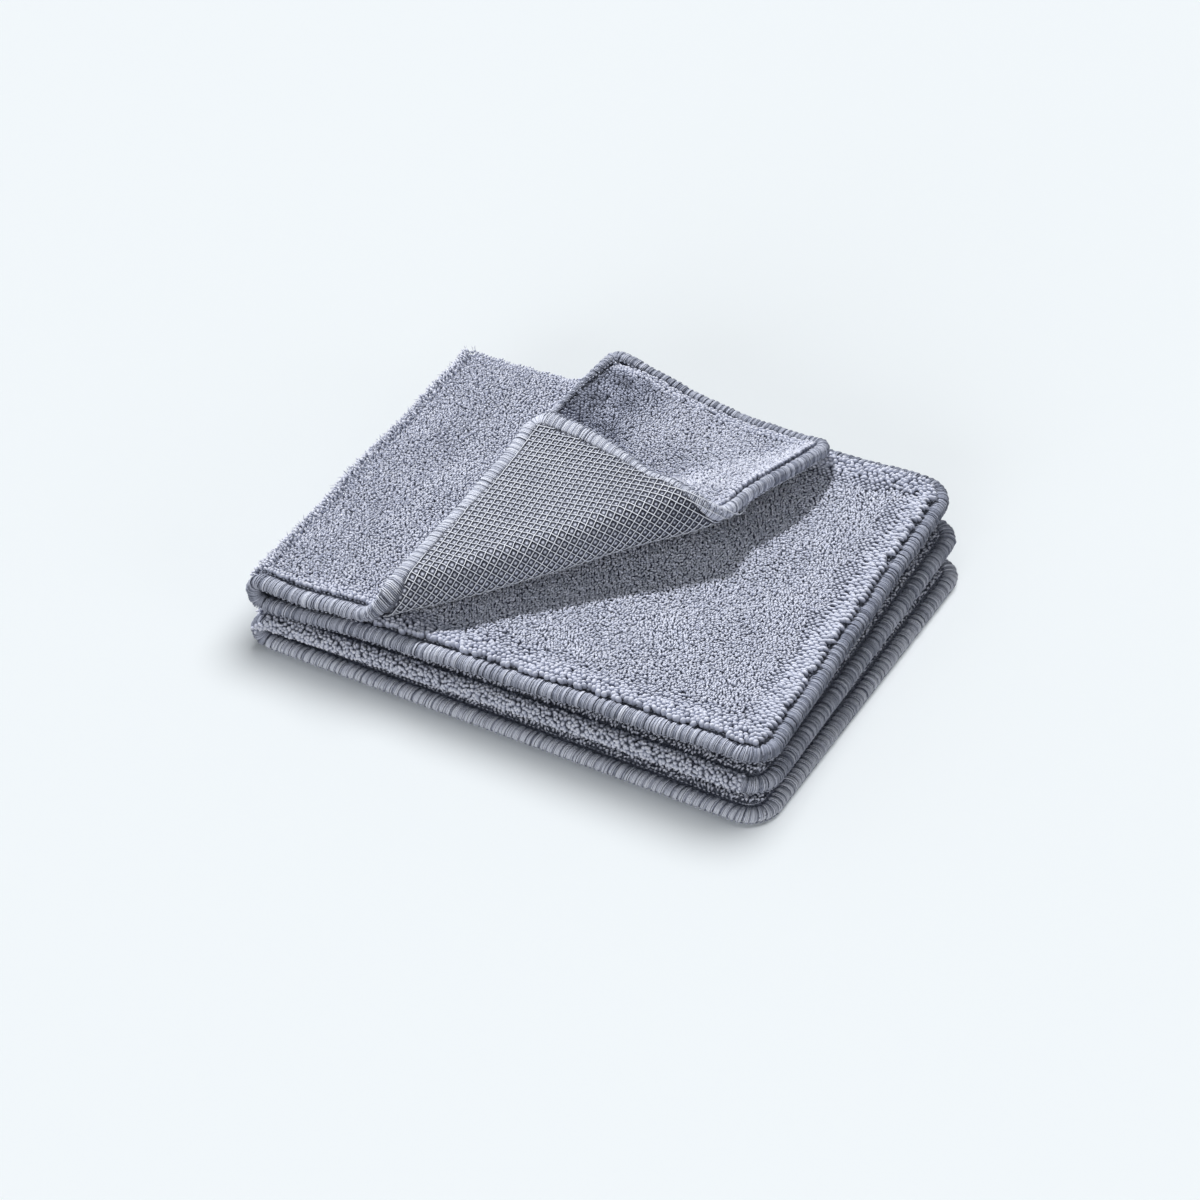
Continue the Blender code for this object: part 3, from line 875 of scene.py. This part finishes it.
def overlock(
    place, path, start, stop, lowest=-150.0, highest=150.0,
    up=SWELL_UP, painted_low_shade=0.3, flat=(1.0, 1.0), light=1.0,
):
    """The turns of yarn between two lengths along an edge: each goes round the edge at its
    own place and leans along it with the sine of half its angle. They lie in bunches, a
    cosine of the length, and the turns between two bunches are pulled in and painted
    dark, painted shade in the slits. Light is a painted light factor on the upper face,
    and the lower face is painted darker by a given share. Between the two lengths in flat
    the hem isn't rolled up tight: it is wider and more even, and painted lighter."""
    count = int((stop - start) / TURN_PITCH)
    run = start + (np.arange(count) + 0.5) * TURN_PITCH + TURN_UNEVEN * chance.normal(size=count)
    wave = np.cos(2 * np.pi * (run / BUNCH + 0.14 * waves(run, 0 * run, 0.009, 43)))
    between = (0.5 + 0.5 * wave) ** 6
    even = smooth((run - flat[0]) / FLAT_EASE) * smooth((flat[1] - run) / FLAT_EASE)
    swell = 0.00012 * waves(run, 0 * run, 0.006, 41) + TURN_UNEVEN * chance.normal(size=count)
    swell = swell - (BUNCH_DEEP * wave + BETWEEN_DEEP * between) * (1.0 - 0.5 * even)

    angle = np.radians(np.linspace(lowest, highest, 9))
    grid_run = run[:, None] + TURN_SLANT * np.sin(angle / 2)
    grid_run = np.clip(grid_run, path[0][0], path[0][-1])
    grid_angle = np.broadcast_to(angle, grid_run.shape)
    spread = np.broadcast_to(swell[:, None], grid_run.shape)
    across = SWELL_ACROSS + FLAT_WIDER * even[:, None]
    points = round_edge(place, path, grid_run, grid_angle, across, up, spread)

    # Painted shade and light: the lower face is painted darker, the slits darker still, more so
    # below, the flat part lighter, and light scales it all.
    low = smooth((50.0 - np.degrees(angle)) / 90.0)
    between = between * (1.0 - 0.30 * even)
    shade = light * (1.0 + FLAT_PAINTED_LIGHT * even[:, None]) * (1.0 - painted_low_shade * low)
    shade = shade * (1.0 - between[:, None] * (PAINTED_SLIT_SHADE + PAINTED_LOW_SLIT_SHADE * low))
    return cords(points, points - core_of(place, path, grid_run), YARN_WIDE, YARN_THICK, shade)


def edge_frames(place, path, run, angle, up=SWELL_UP, swell=0.0):
    """Point, unit directions along and across an edge, and the outward one, round it."""
    point = round_edge(place, path, run, angle, up=up, swell=swell)
    ahead, behind = (round_edge(place, path, run + step, angle, up=up) for step in (STEP, -STEP))
    along = unit(ahead - behind)
    outward = point - core_of(place, path, run)
    outward = unit(outward - along * (outward * along).sum(-1, keepdims=True))
    return point, along, np.cross(outward, along), outward


def stitches(start, stop):
    """The lengths along an edge of one stitch after another, and their count."""
    count = int((stop - start) / STITCH)
    return start + (np.arange(count) + 0.5) * STITCH, count


def chain(place, path, start, stop, turned=-42.0, up=SWELL_UP):
    """A looper thread along the edge: one slanting stitch to every three turns."""
    run, count = stitches(start, stop)
    angle = np.full(count, math.radians(turned))
    frames = edge_frames(place, path, run, angle, up=up, swell=CHAIN_OUT)
    sizes = [np.full(count, size) for size in CHAIN_SIZE]
    slant = CHAIN_SLANT + 0.1 * chance.normal(size=count)
    return grains(frames, *sizes, slant, np.zeros((2, count)), GRAIN_BANDS, 6)


def seam(place, path, start, stop):
    """The needle thread inside a hem: one straight stitch after another."""
    run, count = stitches(start, stop)
    flat, left = on_path(path, run)
    point, along, beside, normal = frame_on(place, *(flat + left * SEAM_IN).T)
    frames = (point + normal * SEAM_HIGH, along, beside, normal)
    sizes = [np.full(count, size) for size in SEAM_SIZE]
    turn = np.arctan2(-left[:, 0], left[:, 1])
    return grains(frames, *sizes, turn, np.zeros((2, count)), GRAIN_BANDS, 6)


def top_edge(x, y):
    """The top quarter, with the hem of its raised edge lying 3 mm up, on the pile."""
    on = top_quarter(x, y)
    on[..., 2] += 0.0030 * smooth((y - 0.096) / 0.024) * (1.0 - smooth((x - 0.0610) / 0.018))
    return on


top_hem = rounded_path(
    [(FOLD_IN, 0.0), (TOP_WIDTH, 0.0), (TOP_WIDTH, DEPTH), EDGE_BACK, EDGE_FRONT],
    [TOP_CORNER, TOP_CORNER, 0.006],
)
low_hem = rounded_path([(0.0, 0.0), (WIDTH, 0.0), (WIDTH, DEPTH), (0.0, DEPTH)], [CORNER, CORNER])
fold_hem = rounded_path([(0.0, 0.0), (TOP_ARC, 0.0)], [])
top_stop, low_stop = top_hem[0][-1], low_hem[0][-1]
back_stop = low_stop - FOLD_END
third_side, second_side, top_tight = WIDTH - 0.012, WIDTH - 0.008, 0.275
top_front, low_front = laid(top_fold, TOP_ARC), laid(low_fold, TOP_ARC)

# Painted light and shade on the hems: the top hem beyond top_tight and the second quarter's right
# side and back are painted darker. The bottom hem is painted lighter, its lower face too. The top
# hem's first part, whose lower face turns up, gets no painted shade there.
yarn_top = piece_from(
    "overlock_top",
    yarn_fabric,
    overlock(top_edge, top_hem, 0.0, top_tight, painted_low_shade=0.0, flat=(0.040, 0.270)),
    overlock(top_edge, top_hem, top_tight, top_stop, light=0.85),
    chain(top_edge, top_hem, 0.0, top_stop),
    seam(top_edge, top_hem, 0.0, top_stop - 0.04),
)
yarn_second = piece_from(
    "overlock_second",
    yarn_fabric,
    overlock(second_quarter, low_hem, 0.0, second_side),
    overlock(second_quarter, low_hem, second_side, back_stop, light=0.56),
    chain(second_quarter, low_hem, 0.0, back_stop),
    seam(second_quarter, low_hem, 0.03, back_stop),
    overlock(top_front, fold_hem, 0.0, TOP_ARC),
    overlock(low_front, fold_hem, 0.0, TOP_ARC),
)
yarn_third = piece_from(
    "overlock_third",
    yarn_fabric,
    overlock(third_quarter, low_hem, 0.0, third_side, lowest=-150.0, highest=0.0),
    overlock(third_quarter, low_hem, third_side, back_stop),
    chain(third_quarter, low_hem, 0.0, back_stop),
    seam(third_quarter, low_hem, WIDTH, back_stop),
)
yarn_bottom = piece_from(
    "overlock_bottom",
    yarn_fabric,
    overlock(bottom_quarter, low_hem, 0.0, low_stop, up=0.0020, painted_low_shade=-0.2, light=1.4),
    chain(bottom_quarter, low_hem, 0.0, low_stop, turned=-36.0, up=0.0020),
    seam(bottom_quarter, low_hem, 0.0, back_stop),
)


# Pile over the edges. At the third quarter's front and at the back of the raised edge the
# loops have been brushed out over the yarn and hide it.
RIM_RADIUS, RIM_LOOP = 0.0031, np.array([0.0019, 0.0015, 0.0019])


def rim_pile(place, path, stop, lowest, highest, pitch, size, bands, sides):
    """Loops scattered along an edge and round it, between two angles."""
    round_it = math.radians(highest - lowest) * RIM_RADIUS
    run, turn = scattered((0.0, 0.0), (stop, round_it), pitch, 0.36)
    run = np.clip(run, STEP, path[0][-1] - STEP)
    angle = math.radians(lowest) + turn / RIM_RADIUS
    count = len(run)
    uneven = 0.00025 * waves(run, turn, 0.005, 61)
    frames = edge_frames(place, path, run, angle, swell=uneven)
    sizes = [varied(part, 0.15, count) for part in RIM_LOOP * size]
    lean = 0.25 * chance.normal(size=(2, count))
    return grains(frames, *sizes, chance.uniform(0, np.pi, count), lean, bands, sides)


front_loops = (-8.0, 150.0, 0.00155, 0.95, LOOP_BANDS, 7)
back_loops = (-60.0, 160.0, 0.00115, 0.70, GRAIN_BANDS, 6)
back_edge = rounded_path([(EDGE_BACK[0] - 0.001, DEPTH), (FOLD_IN, DEPTH)], [])
pile_edges = piece_from(
    "pile_edges",
    pile_fabric,
    rim_pile(third_quarter, low_hem, WIDTH - 0.010, *front_loops),
    rim_pile(low_front, fold_hem, 0.0055, *front_loops),
    rim_pile(top_quarter, back_edge, back_edge[0][-1], *back_loops),
)


# The scouring net. A panel of stiff light monofilament, woven in open squares over a dark
# backing, is sewn into the seam all round the underside of the top quarter. It shows where
# the corner is turned back.
NET_IN, NET_SHORT, BEFORE_ROLL = 0.0064, 0.003, 0.012
NET_ALONG, NET_ACROSS = 0.00238, 0.00262
BACKING_OFF, BACKING_THICK = 0.00225, 0.0003
NET_OFF, NET_WEAVE = 0.00262, 0.00009
NET_WIDE, NET_THICK = 0.00042, 0.00034
STANDS_UP, MOST_BUNCHED, MOST_DRAWN = math.radians(38.81), 2.1, 0.55

backing_fabric, tree = nodes_of("net backing", 0.9, 0.1)
flat_place = tree.nodes.new("ShaderNodeUVMap")
flat_place.uv_map = "cells"
in_cell = tree.nodes.new("ShaderNodeVectorMath")
in_cell.operation = "FRACTION"
tree.links.new(flat_place.outputs["UV"], in_cell.inputs[0])
from_middle = tree.nodes.new("ShaderNodeVectorMath")
from_middle.operation = "DISTANCE"
from_middle.inputs[1].default_value = (0.5, 0.5, 0.0)
tree.links.new(in_cell.outputs[0], from_middle.inputs[0])
coloured(
    tree,
    sum_of(tree, (from_middle.outputs["Value"], 1.0), (attribute(tree, "shade"), 0.16)),
    (0.00, (0.620, 0.645, 0.730)),
    (0.14, (0.520, 0.545, 0.640)),
    (0.24, (0.120, 0.130, 0.170)),
    (0.36, (0.050, 0.055, 0.078)),
    (0.60, (0.016, 0.018, 0.028)),
)
bump(tree, noise(tree, 2400.0), 0.0003)


def undrawn(x, y):
    """Flat places from drawn in ones: the error is taken off, again and again."""
    from_x, from_y = x, y
    for _ in range(25):
        new_x, new_y = drawn_in(from_x, from_y)
        from_x, from_y = from_x + x - new_x, from_y + y - new_y
    return from_x, from_y


# How far the net is bunched, over a grid of places along and across the roll: where the
# cloth stands up it is bunched, and where it slopes down it is drawn out. The density is
# the rise over the tangent of STANDS_UP, plus the run back over the roll.
roll_t, roll_s = np.linspace(-0.02, 0.20, 111), np.linspace(-0.03, 0.13, 321)
t, s = np.meshgrid(roll_t, roll_s, indexing="ij")
slope = np.gradient(top_quarter(*undrawn(*from_roll(t, s))), roll_s, axis=1)
density = slope[..., 2] * math.cos(STANDS_UP) / math.sin(STANDS_UP) - slope[..., :2] @ ROLL_OFF
_, _, radius, start = by_roll(*from_roll(t, s))
density = np.where(s > start + 1.4 * radius, np.clip(density, MOST_DRAWN, MOST_BUNCHED), 1.0)
bunching = np.cumsum(density - 1.0, axis=1) * (roll_s[1] - roll_s[0])


def bunched(t, s):
    """How far the net is bunched at a place on the roll, from the four nearest ones."""
    t = np.clip((t - roll_t[0]) / (roll_t[1] - roll_t[0]), 0.0, len(roll_t) - 1.001)
    s = np.clip((s - roll_s[0]) / (roll_s[1] - roll_s[0]), 0.0, len(roll_s) - 1.001)
    i, j = t.astype(int), s.astype(int)
    t, s = t - i, s - j
    near = bunching[i, j] * (1 - s) + bunching[i, j + 1] * s
    far = bunching[i + 1, j] * (1 - s) + bunching[i + 1, j + 1] * s
    return near * (1 - t) + far * t


across = np.r_[np.arange(FOLD_IN + NET_SHORT, TOP_WIDTH - NET_IN, 0.0019), TOP_WIDTH - NET_IN]
beside = np.r_[np.arange(NET_IN, DEPTH - NET_IN, 0.0024), DEPTH - NET_IN]
x, y = np.meshgrid(across, beside, indexing="ij")
on, _, _, normal = frame_on(top_quarter, x, y)
backing_points = (on - normal * BACKING_OFF).reshape(-1, 3)
backing_faces = triangles(np.arange(x.size).reshape(x.shape))
skins, skin_faces = thickened(backing_points, backing_faces, BACKING_THICK / 2, BACKING_THICK / 2)
t, s, _, _ = by_roll(*drawn_in(x, y))
# Painted shade: the backing is painted darker towards the far end of the roll, where the roll
# turns away from the key light.
shade = np.tile(smooth((t.ravel() - 0.070) / 0.070), 2)
backing = piece_of("net_backing", skins, skin_faces, backing_fabric, shade=shade)
cell_x, cell_y = from_roll(t, s + bunched(t, s))
cells = np.tile(np.stack([cell_x.ravel() / NET_ACROSS, cell_y.ravel() / NET_ALONG], -1), (2, 1))
layer = backing.data.uv_layers.new(name="cells")
layer.data.foreach_set("uv", cells[skin_faces.ravel()].astype(np.float32).ravel())

net_fibre, tree = nodes_of("net monofilament", 0.45, 0.0, gloss=0.5)
coloured(
    tree,
    sum_of(tree, (attribute(tree, "tone"), 0.35), (noise(tree, 160.0), 0.65)),
    (0.25, (0.600, 0.635, 0.720)),
    (0.75, (0.820, 0.850, 0.925)),
)


def unbunched(lattice_x, lattice_y):
    """Flat places from bunched ones: part of the error is taken off, again and again."""
    t, from_s, _, _ = by_roll(lattice_x, lattice_y)
    s = from_s
    for _ in range(30):
        s = s + 0.6 * (from_s - s - bunched(t, s))
    return undrawn(*from_roll(t, s))


def net_cords(pitch, weave_pitch, turned):
    """Parallel strands, a pitch apart, from just before the roll to the hem. Each goes over
    and under the others by a cosine of its length. Its ends are found among dense places
    along it."""
    starts = np.arange(-10, TOP_WIDTH / pitch + 10) * pitch
    first, last = np.full(len(starts), -0.02), np.full(len(starts), TOP_WIDTH + 0.04)
    dense, shown = 400, 90
    for count in (dense, shown):
        share = np.linspace(0.0, 1.0, count)
        along = first[:, None] + (last - first)[:, None] * share
        line = starts[:, None] + 0 * along
        lattice_x, lattice_y = (line, along) if turned else (along, line)
        x, y = unbunched(lattice_x, lattice_y)
        if count == dense:
            _, s, _, start = by_roll(*drawn_in(x, y))
            inside = (x < TOP_WIDTH - NET_IN) & (y > NET_IN) & (y < DEPTH - NET_IN)
            inside &= s > start - BEFORE_ROLL
            number, at_last = np.arange(len(starts)), dense - 1 - inside[:, ::-1].argmax(1)
            first, last = along[number, inside.argmax(1)], along[number, at_last]
            keep = inside.any(1) & (last - first > 0.004)
            starts, first, last = starts[keep], first[keep], last[keep]
    on, _, _, normal = frame_on(top_quarter, x, y)
    parity = np.rint(line / pitch) + (1 if turned else 0)
    over = NET_WEAVE * np.cos(np.pi * (along / weave_pitch + parity))
    paths = on - normal * (NET_OFF + over)[..., None]
    return cords(paths, -normal, NET_WIDE, NET_THICK)


net_strands = piece_from(
    "net_strands",
    net_fibre,
    net_cords(NET_ALONG, NET_ACROSS, False),
    net_cords(NET_ACROSS, NET_ALONG, True),
    slot="scouring_mesh",
)
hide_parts("scour_mesh")
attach(backing, "root")
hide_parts("scour_mesh")
on_ground = [
    pile_left, pile_right, pile_second, pile_low, pile_folds, pile_edges,
    yarn_top, yarn_second, yarn_third, yarn_bottom,
]

# The surface under the cloth and the light round it: a pale matt floor that gives no
# bounce, one high light from the back left, and weak ones from the front and the right.
floor_mesh = bpy.data.meshes.new("floor")
floor_mesh.from_pydata([(-3, -3, 0), (3, -3, 0), (3, 3, 0), (-3, 3, 0)], [], [(0, 1, 2, 3)])
floor = placed("floor", floor_mesh)
floor_paint, tree = nodes_of("pale floor", 0.6, 0.0, gloss=0.0)
tree.nodes["Principled BSDF"].inputs["Base Color"].default_value = (0.900, 0.943, 0.970, 1.0)
floor_mesh.materials.append(floor_paint)
floor.visible_diffuse = False

KEY_FROM, FLOOR_FROM = (-0.76, 0.55, 1.06), (0.12, 0.36, 1.0)
FRONT_FROM, RIGHT_FROM = (0.10, -1.0, 0.15), (1.0, -0.20, 0.15)


def sun(name, comes_from, strength, angle, lit=()):
    """A far white light: its rays come from the given direction, and angle softens shadows.
    It lights everything, or only the objects in lit."""
    light = bpy.data.lights.new(name, "SUN")
    light.energy, light.angle = strength, math.radians(angle)
    lamp = placed(name, light)
    x, y, z = comes_from
    lamp.rotation_euler = (math.atan2(math.hypot(x, y), z), 0.0, math.atan2(x, -y))
    if lit:
        lamp.light_linking.receiver_collection = bpy.data.collections.new(name)
    for piece in lit:
        lamp.light_linking.receiver_collection.objects.link(piece)


sun("key light", KEY_FROM, 4.15, 4.0, [ground, *on_ground, backing, net_strands])
sun("floor light", FLOOR_FROM, 2.32, 45.0, [floor])
sun("front light", FRONT_FROM, 1.6, 40.0)
sun("right light", RIGHT_FROM, 0.4, 40.0)
world = bpy.data.worlds.new("studio")
world.use_nodes = True
sky = world.node_tree.nodes["Background"]
sky.inputs["Color"].default_value = (0.95, 0.98, 1.0, 1.0)
sky.inputs["Strength"].default_value = 0.20
bpy.context.scene.world = world
bpy.context.scene.view_settings.view_transform = "Standard"
